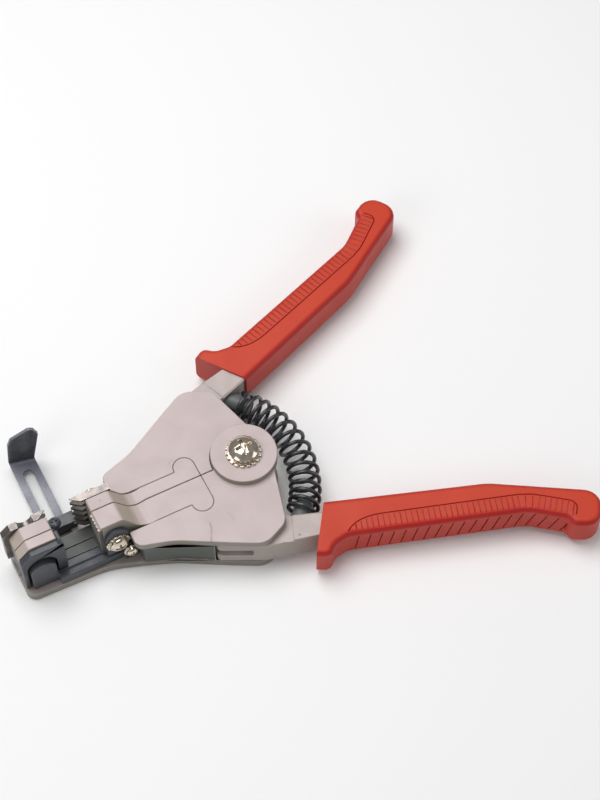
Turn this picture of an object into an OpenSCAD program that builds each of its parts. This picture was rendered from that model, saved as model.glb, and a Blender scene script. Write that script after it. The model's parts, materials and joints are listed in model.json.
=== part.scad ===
// Compound-action wire stripper: two cast half frames, two gripped handles,
// two sliding jaws, notched blades and an adjustable wire stop.
// Plans are drawn on the +Y side, and side = -1 mirrors them to the -Y side.

/* [Frame] */
// Overall thickness of the tool body
tool_t = 15; // [14.5:0.1:16]
// Thickness of each frame plate
plate_t = 2.8; // [2.5:0.1:3]
// Radius of the raised boss round the pivot
boss_r = 10.25; // [9.5:0.05:10.6]
// Height of the boss face above the back of the tool
boss_top = 17.3; // [16.5:0.1:18.5]

/* [Pivot] */
// Radius of the main pivot pin
pin_r = 3; // [2.5:0.1:3.2]
// Running clearance on the pin
pin_gap = 0.06; // [0.04:0.01:0.1]
// Radius of the domed screw head
head_r = 4.65; // [4:0.05:5]

/* [Jaws] */
// Height of the jaw blocks above the back of the tool
jaw_top = 21.5; // [20:0.5:23]
// Radius of the crank pins about the main pivot
crank_r = 22; // [21:0.5:22]
// Number of stripping notches in each blade
notch_count = 5; // [3:1:6]

/* [Handles] */
// Height of the grips
grip_h = 11.6; // [11.2:0.2:12.6]

/* [Spring] */
// Wire diameter of the return spring
wire_d = 1.3; // [1:0.1:1.4]
// Mean radius of the spring's turns
coil_r = 4.5; // [4:0.1:4.6]
// Number of turns of the spring
coil_turns = 15; // [10:1:17]

/* [Wire stop] */
// Width of the slotted strip
strip_w = 8; // [7:0.5:8.4]
// Thickness of the slotted strip
strip_t = 1; // [0.8:0.1:1.2]
// Height of the folded-up end of the strip
fold_h = 18; // [14:1:19]

/* [Hidden] */
$fn = 64;
slack = 0.1;                          // half the gap on the split line
joint_gap = 0.08;                     // gap round the keyed jaw levers
front_z = tool_t - plate_t;           // underside of the front plates
arm_z = plate_t + 0.2;                // underside of the sliding arms
floor_z = arm_z + 3.2;                // top of the sliding arms, the jaw floor
finger_t = 2.9;                       // thickness of each fork finger
fork_low = plate_t + 0.2;             // underside of the lower finger
fork_high = front_z - 0.2;            // top of the upper finger
eye_t = 2.2;                          // thickness of the lower handle's eyes
eye_r = 8.5;                          // radius of the handle eyes
lap_r = boss_r + 0.1;                 // radius where the half-lapped eyes end
lap_z = front_z + plate_t / 2 - 0.1;  // split between the front eyes
block_x = -50.2;                      // jaw face of the inner blocks
lever_edge = [8.0, 4.5];              // outer edge of the lower and upper levers
crank_angle = 110.5;                  // angle of the crank pins at rest
crank_at = crank_r * [cos(crank_angle), sin(crank_angle)];
crank_pin_r = 1.5;                    // radius of the crank pins
crank_slot_r = crank_pin_r + 0.18;    // half the width of the slot they drive
arm_end_z = fork_low + finger_t + 0.2;                     // driven end of the arms
arm_end_t = fork_high - fork_low - 2 * finger_t - 0.4;     // and its thickness
shank_z = 2.6;                        // how far the shank stands in from each face
washer_t = 0.9;                       // thickness of the pivot washer
grip_swing = 1;                       // lean of both grips to the upper side
grip_shift = [-0.3, 0.9];             // and their offset on the forks
arc_r = 33;                           // radius of the spring's bent centre line
arc_x = 17 - arc_r;                   // centre of that arc
arc_half = 42;                        // half the angle it spans
coil_z = tool_t / 2;                  // height of the spring's centre line
blade_y = lever_edge[1] + 0.02;       // back of both blades
blade_t = 2.4;                        // thickness of the blades
blade_screw_r = 1.45;                 // thread of the blade and guide screws
blade_screw_z = 2.44;                 // seat of the blade screws above the lever
inner_screw_at = [-47.4, 17.2];       // x and z of the inner blade's screw
tip_screw_at = [-69.5, 11];           // x and z of the tip blade's screw
guide_screw_at = [-45.8, 12.6];       // x and z of the screw that holds the guide
guide_y = -8.2;                       // outer face of the strap guide
stop_x = -59.5;                       // middle of the wire stop's strip
stop_z = plate_t - 0.1 - strip_t;     // underside of the strip
stop_end = 37;                        // middle of the fold
fold_turn = -12;                      // skew of the fold line
clamp_y = 9.6;                        // clamp screw of the wire stop
guide_h = 3.6;                        // height of the block over the strip
// Seat point and turn of each screw in the upper frame's web
web_screw_seats = [[[-23.2, 20.4, 7.5], 28.5], [[-27.6, 17.8, 7.5], 28.5]];
body_grey = [0.76, 0.71, 0.70];
web_grey = [0.60, 0.58, 0.56];
black = [0.13, 0.14, 0.16];
steel = [0.50, 0.52, 0.54];
zinc = [0.82, 0.78, 0.70];
grip_red = [0.80, 0.25, 0.16];

// ---- outlines -------------------------------------------------------------

// Corner points [x, y, r] turned into an outline with each corner rounded to r.
function rounded(corners, steps = 6) = [
    for (i = [0 : len(corners) - 1])
        let (
            here = [corners[i][0], corners[i][1]],
            last = corners[(i + len(corners) - 1) % len(corners)],
            next = corners[(i + 1) % len(corners)],
            to_last = [last[0], last[1]] - here,
            to_next = [next[0], next[1]] - here,
            u = to_last / norm(to_last),
            v = to_next / norm(to_next),
            half = acos(u * v) / 2,
            r = corners[i][2],
            centre = here + (u + v) / norm(u + v) * r / sin(half),
            start = here + u * r / tan(half),
            turn = 180 - 2 * half,
            way = sign(u[0] * v[1] - u[1] * v[0]),
            from = start - centre)
        each r == 0 || half > 89 ? [here] : [
            for (k = [0 : steps])
                let (a = -way * turn * k / steps)
                centre + [from[0] * cos(a) - from[1] * sin(a),
                          from[0] * sin(a) + from[1] * cos(a)]]];

// Outer edge shared by both plates of a frame, from the nose round to the boss.
plate_edge = [[-31, 16.6, 30], [-17, 24.6, 60], [-7.2, 29.9, 6], [1.4, 26.0, 5],
              [5.9, 9.6, 3], [9.4, 3.2, 0]];

function front_outline(nose) = concat([[0, slack, 0]], nose, [[-41.8, 13.4, 2.8]],
    plate_edge);

lower_nose = [[-41.8, slack, 0], [-41.8, 8.2, 0]];
upper_nose = [[-36, slack, 0], [-36, 4.5, 0], [-38.6, 4.9, 2.5], [-41.5, 8, 2]];

function back_outline(head) = concat([[0, slack, 0], [-75.6, slack, 0]], head,
    plate_edge);

lower_head = [[-75.6, 8.6, 3], [-50, 9.4, 30], [-40.5, 12.8, 20]];
upper_head = [[-75.6, 7.3, 1], [-66.4, 7.3, 0.5], [-66.4, 12.6, 1.5],
              [-40.5, 12.8, 8]];

// Stem and rounded key of a jaw lever, seen from the front.
module lever_plan(edge, grow) {
    lobe_r = 3.3;
    translate([-60, slack - grow])
        square([45.4 + grow, edge - slack + 2 * grow]);
    translate([-14.6 - 2 * lobe_r - grow, slack - grow])
        square([2 * lobe_r + 2 * grow, edge + 0.4 - slack + grow]);
    translate([-14.6 - lobe_r, edge + 0.4])
        circle(lobe_r + grow);
}

module slab(outline, low, high) {
    translate([0, 0, low])
        linear_extrude(high - low)
            polygon(rounded(outline));
}

module post(r, low, high) {
    translate([0, 0, low])
        cylinder(r = r, h = high - low);
}

module on_side(side) {
    if (side < 0) mirror([0, 1, 0]) children();
    else children();
}

// A screw head lying on the plane z = 0, with a cross recess.
module cross_head(r, h) {
    difference() {
        union() {
            cylinder(r = r, h = h * 0.45);
            intersection() {
                translate([0, 0, h * 0.45]) cylinder(r = r, h = h);
                translate([0, 0, h - (r * r + h * h * 0.3) / (1.1 * h)])
                    sphere(r = (r * r + h * h * 0.3) / (1.1 * h));
            }
        }
        for (a = [0, 90])
            rotate([0, 0, a])
                translate([-r * 0.55, -r * 0.12, h * 0.4])
                    cube([r * 1.1, r * 0.24, h]);
    }
}

// A toothed spring washer lying on the plane z = 0.
module toothed_washer(bore, inner, outer, t, teeth) {
    difference() {
        union() {
            cylinder(r = inner, h = t);
            for (i = [0 : teeth - 1])
                rotate([0, 0, i * 360 / teeth])
                    translate([inner - 0.3, -0.55, 0])
                        cube([outer - inner + 0.3, 1.1, t]);
        }
        translate([0, 0, -1]) cylinder(r = bore, h = t + 2);
    }
}

// ---- frames ---------------------------------------------------------------

// Cast half frame: front plate, back plate and the web that joins them.
module frame_casting(side, lever, nose, head) {
    outer = side < 0;
    on_side(side)
        difference() {
            union() {
                difference() {
                    slab(front_outline(nose), front_z, tool_t);
                    translate([0, 0, front_z - 1])
                        linear_extrude(plate_t + 2)
                            lever_plan(lever, joint_gap);
                    if (outer) post(lap_r, front_z - 1, lap_z + 0.1);
                    else post(lap_r + 0.1, lap_z, tool_t + 1);
                }
                difference() {
                    slab(back_outline(head), 0, plate_t);
                    if (outer) post(lap_r, plate_t / 2, plate_t + 1);
                    else post(lap_r + 0.1, -1, plate_t / 2 + 0.1);
                }
                frame_web();
                if (outer) {
                    post(boss_r, lap_z + 0.1, boss_top);
                    post(boss_r, 0, plate_t / 2);
                } else {
                    post(boss_r - 0.1, front_z, lap_z);
                    post(boss_r - 0.1, plate_t / 2 + 0.1, plate_t);
                }
            }
            post(pin_r + pin_gap, -1, boss_top + 1);
            if (outer) post(5, -1, plate_t / 2 + 0.05);
        }
}

// Wall along the outer edge, between the plates.
module frame_web() {
    web_t = 2.6;
    slab([[-39.9, 9.2, 0], [-39.9, 13.3, 1.5], [-31, 16.3, 30], [-20.6, 22.2, 0],
          [-20.6, 22.2 - web_t - 0.4, 0], [-31, 16.3 - web_t, 20],
          [-36.6, 11, 1.5], [-36.6, 9.2, 0]], plate_t - 0.2, front_z + 0.2);
}

module lower_frame() {
    color(body_grey) frame_casting(-1, lever_edge[0], lower_nose, lower_head);
}

module upper_frame() {
    color(body_grey)
        difference() {
            frame_casting(1, lever_edge[1], upper_nose, upper_head);
            // Groove that the wire stop slides in, and its clamp screw's hole
            translate([stop_x - strip_w / 2 - 0.15, -1, stop_z - 0.1])
                cube([strip_w + 0.3, 20, plate_t]);
            translate([stop_x, clamp_y, 0.4]) cylinder(r = 1.2, h = plate_t);
            for (at = web_screw_seats)
                translate(at[0]) rotate([90, 0, at[1]]) cylinder(r = 1.3, h = 12, center = true);
        }
}

// ---- fixed jaw levers -----------------------------------------------------

// Side profile of a lever's jaw end: block, sloping scoop and heel.
lever_profile = [[-50.2, 6.5, 0.4], [-50.2, 21.5, 0.7], [-42.8, 21.5, 1.6],
                 [-38.4, 15.2, 4], [-35.6, 14.2, 3], [-32.6, 15, 0], [-32.6, 9.2, 0],
                 [-41.8, 9.2, 0], [-41.8, 6.5, 0.4]];

module jaw_lever(side, edge, block_w) {
    on_side(side) {
        intersection() {
            translate([0, 20, 0]) rotate([90, 0, 0])
                linear_extrude(30)
                    polygon(rounded(lever_profile));
            slab([[-51, slack, 0], [-51, block_w, 0], [-41.5, block_w, 0],
                  [-34, edge, 0], [-30, edge, 0], [-30, slack, 0]], 5, 25);
        }
        difference() {
            translate([0, 0, front_z])
                linear_extrude(plate_t)
                    lever_plan(edge, 0);
            translate([-80, -1, 0]) cube([80 - 32.6, 20, 30]);
        }
    }
}

module lower_jaw_lever() {
    ridge_pitch = 1.3;
    color(body_grey) {
        difference() {
            jaw_lever(-1, lever_edge[0], 6.7);
            translate([guide_screw_at[0], -3.9, guide_screw_at[1]])
                rotate([90, 0, 0]) cylinder(r = 1.5, h = 5);
        }
        // Vertical gripping ridges on the jaw face
        for (i = [0 : 4])
            translate([block_x, -0.95 - i * ridge_pitch, 6.6])
                cylinder(r = 0.6, h = jaw_top - 7.6);
    }
}

module upper_jaw_lever() {
    color(body_grey)
        difference() {
            jaw_lever(1, lever_edge[1], lever_edge[1]);
            translate([inner_screw_at[0], 6, inner_screw_at[1]])
                rotate([90, 0, 0]) cylinder(r = blade_screw_r + 0.05, h = 5);
        }
}

// ---- pivot ----------------------------------------------------------------

module pivot_screw() {
    color(zinc) {
        post(pin_r, plate_t / 2 + 0.1, boss_top + washer_t);
        post(2.4, 0.2, plate_t / 2 + 0.2);
        translate([0, 0, boss_top + washer_t]) cross_head(head_r, 3.1);
    }
}

module pivot_washer() {
    color(zinc)
        translate([0, 0, boss_top])
            toothed_washer(pin_r + 0.05, 4.9, 5.6, washer_t, 18);
}

module pivot_nut() {
    color(steel)
        difference() {
            post(4.9, 0.1, plate_t / 2);
            post(2.45, -1, plate_t);
            for (a = [0, 180])
                rotate([0, 0, a]) translate([3.6, 0, -1]) cylinder(r = 0.6, h = 1.8);
        }
}

// ---- handles --------------------------------------------------------------

fork_outline = [[-6, 2, 0], [-9.6, 11, 3], [-19.9, 19.9, 1.5], [-19.9, 22.9, 1.5],
                [-7.2, 29.4, 12], [9.6, 33.4, 0], [13.4, 26.9, 0], [2.9, 23.1, 2],
                [5.4, 9, 2], [6, 2, 0]];
shank_outline = [[4.3, 23.7, 0.4], [13.9, 27.2, 0], [9.9, 33.5, 0], [1.2, 31.4, 0.4]];
tang_outline = [[10, 27.6, 0], [61.4, 45.4, 20], [78.4, 56.2, 2], [76, 59.6, 2],
                [60.4, 50, 20], [8, 31.4, 0]];
grip_outline = [[14.4, 25, 0], [61.4, 42.6, 22], [90.6, 61.2, 5.4],
                [84, 71.6, 5.2], [76.8, 67.4, 2.3], [76.4, 64.4, 1.2], [67.2, 56.9, 14],
                [15.4, 38.8, 5], [10.6, 39.4, 5], [7.4, 42.2, 2.6], [3.8, 40, 0]];

// Turns a grip and its tang a little towards the upper side.
module swing(side) {
    translate(side * grip_shift) rotate(side * grip_swing) children();
}

// Where the sliding arm's end runs between the two fingers of a fork.
module fork_slot() {
    polygon([[-0.9, 4], [-0.9, 21], [-4, 26], [-10.4, 27.2], [-12, 40], [-40, 40],
             [-40, 4]]);
    translate(crank_at) circle(6.8);
}

module handle_lever(side) {
    on_side(side)
        difference() {
            union() {
                slab(fork_outline, fork_low, fork_high);
                post(eye_r, fork_low, fork_high);
                slab(shank_outline, shank_z, tool_t - shank_z);
                swing(side) slab(tang_outline, fork_low, fork_high);
            }
            translate([0, 0, fork_low + finger_t])
                linear_extrude(fork_high - fork_low - 2 * finger_t)
                    fork_slot();
            post(pin_r + pin_gap, -1, tool_t + 1);
            translate(concat(crank_at, [fork_low - 1]))
                cylinder(r = crank_pin_r, h = tool_t);
            // The lower handle's eyes lie outside the upper handle's single eye
            if (side < 0) {
                translate([0, 0, fork_low + eye_t])
                    cylinder(r = lap_r + 0.4, h = fork_high - fork_low - 2 * eye_t);
            } else {
                post(lap_r + 0.4, 0, fork_low + eye_t + 0.2);
                post(lap_r + 0.4, fork_high - eye_t - 0.2, tool_t);
            }
        }
}

module lower_handle() { color(web_grey) handle_lever(-1); }

module upper_handle() { color(web_grey) handle_lever(1); }

module grip(side) {
    low = (tool_t - grip_h) / 2;
    color(grip_red)
        on_side(side)
            difference() {
                swing(side) slab(grip_outline, low, low + grip_h);
                swing(side) slab(tang_outline, fork_low, fork_high);
                slab(fork_outline, fork_low, fork_high);
                slab(shank_outline, shank_z, tool_t - shank_z);
            }
}

module lower_grip() { grip(-1); }

module upper_grip() { grip(1); }

module crank_pin(side) {
    color(steel)
        on_side(side)
            translate(crank_at)
                post(crank_pin_r, fork_low + 0.2, fork_high - 0.2);
}

module lower_crank_pin() { crank_pin(-1); }

module upper_crank_pin() { crank_pin(1); }

// ---- return spring --------------------------------------------------------

function arc_point(a) = [arc_x + arc_r * cos(a), arc_r * sin(a), coil_z];

// Share of the turns reached at t: closer turns near both ends.
function coil_phase(t) = 360 * coil_turns * (t + 0.45 * sin(360 * t) / 6.2832);

function coil_point(t, grow = 0) =
    let (a = arc_half * (2 * t - 1), p = coil_phase(t), r = coil_r + grow)
    arc_point(a) + [r * cos(p) * cos(a), r * cos(p) * sin(a), r * sin(p)];

module return_spring() {
    rings = coil_turns * 14;
    sides = 6;
    points = [
        for (i = [0 : rings])
            let (
                t = i / rings,
                here = coil_point(t),
                ahead = coil_point(t + 0.0005) - coil_point(t - 0.0005),
                along = ahead / norm(ahead),
                out = coil_point(t, 1) - here,
                side_way = cross(along, out),
                across = side_way / norm(side_way),
                up = cross(across, along))
            for (k = [0 : sides - 1])
                here + wire_d / 2 * (across * cos(60 * k) + up * sin(60 * k))];
    walls = [
        for (i = [0 : rings - 1])
            for (k = [0 : sides - 1])
                let (a = i * sides + k, b = i * sides + (k + 1) % sides)
                for (corners = [[a, b, b + sides], [a, b + sides, a + sides]]) corners];
    start_cap = [for (k = [sides - 1 : -1 : 0]) k];
    end_cap = [for (k = [0 : sides - 1]) rings * sides + k];
    color(black)
        polyhedron(points, concat([start_cap], walls, [end_cap]), convexity = 10);
}

// Tapered peg that centres one end of the spring.
module spring_peg(side) {
    seat = arc_point(arc_half);
    color(steel)
        on_side(side)
            difference() {
                translate(seat)
                    rotate([90, 0, arc_half])
                        translate([0, 0, -4])
                            cylinder(r1 = 3.2, r2 = 2.6, h = 8);
                slab([[2, 22.7, 0], [16, 27.78, 0], [10, 40, 0], [-10, 40, 0]], 0, tool_t);
            }
}

module lower_spring_peg() { spring_peg(-1); }

module upper_spring_peg() { spring_peg(1); }

// ---- sliding jaws ---------------------------------------------------------

tip_profile = [[-74.9, 3, 0.5], [-74.9, 18.1, 0.8], [-71.4, 21.5, 1.2],
               [-62.7, 21.5, 0.5], [-62.7, 3, 0]];

crank_slot_y = [20.4, 22.2];  // ends of the slot that the crank pin drives

// Jaw block, the arm that runs back under the levers and its driven end.
module sliding_jaw(side, width) {
    on_side(side)
        difference() {
            union() {
                translate([0, width, 0]) rotate([90, 0, 0])
                    linear_extrude(width - slack)
                        polygon(rounded(tip_profile));
                slab([[-70, slack, 0], [-70, width, 0], [-27, width, 0],
                      [-27, slack, 0]], arm_z, floor_z);
                slab([[-40.8, slack, 0], [-40.8, width, 0], [-36, 6.6, 1],
                      [-27, 6.6, 1], [-27, slack, 0]], arm_z, arm_end_z + arm_end_t);
                slab([[-36, slack, 0], [-36, 5.6, 2], [-12.6, 24.4, 3],
                      [-3.8, 26.4, 2.2], [-3.8, 16.8, 2], [-8, 15.6, 4],
                      [-27, slack, 1]], arm_end_z, arm_end_z + arm_end_t);
            }
            for (y = crank_slot_y)
                translate([crank_at[0], y, 0]) cylinder(r = crank_slot_r, h = tool_t);
            translate([crank_at[0] - crank_slot_r, crank_slot_y[0], 0])
                cube([2 * crank_slot_r, crank_slot_y[1] - crank_slot_y[0], tool_t]);
        }
}

module lower_tip_jaw() { color(body_grey) sliding_jaw(-1, 3.4); }

module upper_tip_jaw() {
    color(body_grey)
        difference() {
            sliding_jaw(1, lever_edge[1]);
            translate([tip_screw_at[0], 5, tip_screw_at[1]])
                rotate([90, 0, 0]) cylinder(r = blade_screw_r + 0.05, h = 4);
        }
}

// Blackened pad that wraps the lower sliding block.
module jaw_pad() {
    color(black) {
        difference() {
            translate([0, -3.45, 0]) rotate([90, 0, 0])
                linear_extrude(2.1)
                    polygon(rounded([[-75.1, 3.1, 0.5], [-75.1, 17.6, 1],
                                     [-71.6, 20.6, 1.5], [-61.3, 20.6, 2], [-61.3, 3.1, 0]]));
            // Round-topped recess for the ear of the strap
            translate([-69, -3, 12.2]) rotate([90, 0, 0]) cylinder(r = 4.7, h = 4);
            translate([-73.7, -7, 2]) cube([9.4, 4, 10.2]);
            translate([-64.4, -7, 2]) cube([5, 4, floor_z - 1.9]);
        }
        // Gripping face, turned across the jaw opening
        translate([-62.6, -5.5, 6.4]) cube([1.3, 5.4, 13.6]);
    }
}

// Strap beside the lower arm, with the round-topped ear that fills the pad's recess.
module side_strap() {
    bar_y = 8.7;
    color(black) {
        translate([0, -3.6, 0]) rotate([90, 0, 0])
            linear_extrude(3.2)
                polygon(rounded([[-73.1, 3.1, 0.5], [-73.1, 15.8, 3.4], [-65, 14.6, 3.4],
                                 [-65, 3.1, 0]]));
        difference() {
            translate([-66, -bar_y, arm_z]) cube([22, bar_y - 3.5, floor_z - arm_z]);
            // Groove along the top
            translate([-64.4, -6.6, floor_z - 0.5]) cube([30, 0.5, 1]);
            translate([-67, -20, arm_z - 1]) cube([2, 13.2, 6]);
        }
    }
}

// Upright held on the jaw lever, with a tunnel that the strap slides through.
module strap_guide() {
    color(black)
        difference() {
            union() {
                translate([0, -6.8, 0]) rotate([90, 0, 0])
                    linear_extrude(1.4)
                        polygon(rounded([[-49.5, plate_t, 0], [-49.5, 18.6, 3.7],
                                         [-42, 18.6, 3.7], [-42, plate_t, 0]]));
                // Lug of the small side screw
                translate([0, -8, 0]) rotate([90, 0, 0])
                    linear_extrude(1.6)
                        polygon(rounded([[-44.6, plate_t, 0], [-44.6, 9.2, 2],
                                         [-40.2, 9.2, 2], [-40.2, plate_t, 0]]));
            }
            translate([-60, -8.9, 0]) cube([30, 6, floor_z + 0.2]);
            translate([guide_screw_at[0], -5, guide_screw_at[1]])
                rotate([90, 0, 0]) cylinder(r = 1.5, h = 6);
        }
}

module strap_guide_washer() {
    color(zinc)
        translate([guide_screw_at[0], guide_y, guide_screw_at[1]]) rotate([90, 0, 0])
            toothed_washer(1.55, 3.2, 3.8, 0.5, 14);
}

module strap_guide_screw() {
    color(zinc)
        translate([guide_screw_at[0], guide_y - 0.5, guide_screw_at[1]]) rotate([90, 0, 0]) {
            cross_head(3, 2);
            translate([0, 0, -4.6]) cylinder(r = blade_screw_r, h = 4.7);
        }
}

module side_screw() {
    color(zinc)
        translate([-42.5, -9.6, 7.6]) rotate([90, 0, 0]) {
            toothed_washer(1, 2, 2.5, 0.5, 12);
            translate([0, 0, 0.5]) cross_head(1.9, 1.5);
            cylinder(r = 1.1, h = 0.7);
        }
}

// ---- blades ---------------------------------------------------------------

// Blade standing along Z: square back, bevelled edge at x = 0, cut by notches.
module notched_blade(length, low, high) {
    bevel = 2.8;
    pitch = (high - low) / notch_count;
    difference() {
        translate([0, 0, low])
            linear_extrude(high - low)
                polygon([[0, blade_t], [0, blade_t - 0.3], [bevel, 0], [length, 0],
                         [length, blade_t]]);
        for (i = [0 : notch_count - 1])
            translate([0, 0, high - (i + 0.5) * pitch]) {
                translate([-0.25, -1, 0]) rotate([-90, 0, 0])
                    cylinder(r = 0.7 + 0.16 * i, h = 5);
                // Lead-in groove down the bevel
                translate([0, blade_t - 0.3, 0])
                    rotate([0, 0, atan2(0.3 - blade_t, bevel)]) rotate([45, 0, 0])
                        translate([-2, -0.75, -0.75]) cube([8, 1.5, 1.5]);
            }
    }
}

module inner_blade() {
    color(steel)
        difference() {
            translate([-54.3, blade_y, 0])
                notched_blade(12.4, 6.6, jaw_top + 0.2);
            translate([inner_screw_at[0], 9, inner_screw_at[1]])
                rotate([90, 0, 0]) cylinder(r = blade_screw_r + 0.05, h = 6);
        }
}

module tip_blade() {
    color(steel)
        difference() {
            translate([-62.2, blade_y, 0]) mirror([1, 0, 0])
                notched_blade(14.4, 6.6, jaw_top + 0.3);
            // Sloping corner and the finger notch in the top edge
            translate([-77.4, 3, 18.6]) rotate([0, -42, 0]) cube([9, 6, 9]);
            translate([-68.9, 9, jaw_top + 0.8]) rotate([90, 0, 0]) cylinder(r = 2.5, h = 6);
            translate([tip_screw_at[0], 9, tip_screw_at[1]])
                rotate([90, 0, 0]) cylinder(r = blade_screw_r + 0.05, h = 6);
        }
}

module blade_screw(at) {
    color(zinc)
        translate([at[0], lever_edge[1] + blade_screw_z, at[1]]) rotate([-90, 0, 0]) {
            cross_head(3.1, 2.2);
            translate([0, 0, -4.4]) cylinder(r = blade_screw_r, h = 4.5);
        }
}

module inner_blade_screw() { blade_screw(inner_screw_at); }

module tip_blade_screw() { blade_screw(tip_screw_at); }

// ---- wire stop ------------------------------------------------------------

module wire_stop() {
    slot_w = 3.2;
    color(black)
        difference() {
            union() {
                slab([[stop_x - strip_w / 2, 7.6, 0.5], [stop_x + strip_w / 2, 7.6, 0.5],
                      [stop_x + strip_w / 2, stop_end - 0.85, 0],
                      [stop_x - strip_w / 2, stop_end + 0.85, 0]],
                     stop_z, stop_z + strip_t);
                translate([stop_x, stop_end, stop_z])
                    rotate([90, 0, fold_turn])
                        linear_extrude(strip_t, center = true)
                            polygon(rounded([[-4.08, 0, 0], [-3.2, fold_h - 7, 0.8],
                                             [-2, fold_h - 3.8, 0.8], [4.1, fold_h, 1],
                                             [5.6, fold_h - 0.6, 1], [6.8, fold_h - 3.4, 1],
                                             [4.08, 0, 0]]));
            }
            slab([[stop_x - slot_w / 2, 9.4 - slot_w / 2, 1.5],
                  [stop_x + slot_w / 2, 9.4 - slot_w / 2, 1.5],
                  [stop_x + slot_w / 2, 33, 1.5], [stop_x - slot_w / 2, 33, 1.5]],
                 stop_z - 1, stop_z + 2);
        }
}

// Block that holds the strip in its groove and lets it slide.
module stop_guide() {
    color(black)
        difference() {
            translate([-65.6, 7.5, plate_t]) cube([12.6, 4, guide_h]);
            translate([stop_x, clamp_y, 0]) cylinder(r = 1.25, h = 20);
        }
}

module stop_clamp_screw() {
    color(black)
        translate([stop_x, clamp_y, 0]) {
            post(1.2, 0.4, plate_t + guide_h + 0.1);
            translate([0, 0, plate_t + guide_h]) cross_head(1.9, 1.2);
        }
}

// ---- screws in the outer web of the upper frame ---------------------------

module web_screws() {
    color(black)
        for (at = web_screw_seats)
            translate(at[0]) rotate([-90, 0, at[1]]) {
                translate([0, 0, -1.4]) cylinder(r = 1.25, h = 2.4);
                translate([0, 0, 1]) cylinder(r1 = 2.2, r2 = 1.8, h = 1.8);
            }
}

lower_frame();
upper_frame();
lower_jaw_lever();
upper_jaw_lever();
pivot_screw();
pivot_washer();
pivot_nut();
lower_handle();
upper_handle();
lower_grip();
upper_grip();
lower_crank_pin();
upper_crank_pin();
lower_spring_peg();
upper_spring_peg();
return_spring();
lower_tip_jaw();
upper_tip_jaw();
jaw_pad();
side_strap();
strap_guide();
strap_guide_screw();
strap_guide_washer();
side_screw();
inner_blade();
tip_blade();
inner_blade_screw();
tip_blade_screw();
wire_stop();
stop_guide();
stop_clamp_screw();
web_screws();
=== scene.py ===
import json
import math

import bmesh
import bpy
from mathutils import Matrix, Vector


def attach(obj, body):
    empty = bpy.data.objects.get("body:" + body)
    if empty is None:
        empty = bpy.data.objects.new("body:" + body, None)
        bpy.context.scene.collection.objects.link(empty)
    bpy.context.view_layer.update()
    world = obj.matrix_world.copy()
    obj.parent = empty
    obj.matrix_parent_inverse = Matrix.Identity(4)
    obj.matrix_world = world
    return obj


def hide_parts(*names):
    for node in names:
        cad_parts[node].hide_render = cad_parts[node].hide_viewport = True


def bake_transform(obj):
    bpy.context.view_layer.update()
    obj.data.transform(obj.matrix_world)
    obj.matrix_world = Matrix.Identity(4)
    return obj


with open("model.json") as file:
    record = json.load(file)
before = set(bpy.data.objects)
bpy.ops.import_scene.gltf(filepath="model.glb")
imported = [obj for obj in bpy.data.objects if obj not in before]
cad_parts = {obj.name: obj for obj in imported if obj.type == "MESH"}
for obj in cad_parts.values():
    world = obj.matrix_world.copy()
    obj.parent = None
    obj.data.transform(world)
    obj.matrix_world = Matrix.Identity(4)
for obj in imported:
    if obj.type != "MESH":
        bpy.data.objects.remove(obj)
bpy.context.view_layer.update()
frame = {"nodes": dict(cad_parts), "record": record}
mm = 0.001  # lengths in the dictionaries below are in mm, angles in degrees
print("frame loaded:", len(frame["nodes"]), "nodes")


# Node groups that the finishes share


def startGroup(name, inputs, outputs):
    group = bpy.data.node_groups.new(name, "ShaderNodeTree")
    for label, kind, value in inputs:
        socket = group.interface.new_socket(label, in_out="INPUT", socket_type=kind)
        socket.default_value = value
    for label, kind in outputs:
        group.interface.new_socket(label, in_out="OUTPUT", socket_type=kind)
    return group, group.nodes.new("NodeGroupInput"), group.nodes.new("NodeGroupOutput")


def addNode(tree, kind, settings=(), values=()):
    node = tree.nodes.new(kind)
    for label, value in dict(settings).items():
        setattr(node, label, value)
    for label, value in dict(values).items():
        node.inputs[label].default_value = value
    return node


def calc(tree, operation, first, second=None, clamp=False):
    node = addNode(tree, "ShaderNodeMath", {"operation": operation, "use_clamp": clamp})
    for socket, value in zip(node.inputs, (first, second)):
        if hasattr(value, "is_output"):
            tree.links.new(value, socket)
        elif value is not None:
            socket.default_value = value
    return node.outputs[0]


def stepUp(tree, value, low, high):
    node = addNode(tree, "ShaderNodeMapRange", {"clamp": True, "interpolation_type": "SMOOTHSTEP"})
    tree.links.new(value, node.inputs["Value"])
    node.inputs["From Min"].default_value = low
    node.inputs["From Max"].default_value = high
    return node.outputs["Result"]


def reverse(tree, value):
    return calc(tree, "SUBTRACT", 1.0, value)


def scaled(tree, value, factor):
    return calc(tree, "MULTIPLY", value, factor)


def objectPoint(tree):
    return tree.nodes.new("ShaderNodeTexCoord").outputs["Object"]


def noise(tree, scale, detail=2.0, rough=0.5, distortion=0.0, stretch=None):
    point = objectPoint(tree)
    if stretch:
        scale3, turn3 = stretch
        mapping = addNode(tree, "ShaderNodeMapping", values={"Scale": scale3, "Rotation": turn3})
        tree.links.new(point, mapping.inputs["Vector"])
        point = mapping.outputs["Vector"]
    node = addNode(
        tree, "ShaderNodeTexNoise",
        values={"Detail": detail, "Roughness": rough, "Distortion": distortion})
    tree.links.new(point, node.inputs["Vector"])
    if hasattr(scale, "is_output"):
        tree.links.new(scale, node.inputs["Scale"])
    else:
        node.inputs["Scale"].default_value = scale
    return node.outputs["Fac"]


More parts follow.
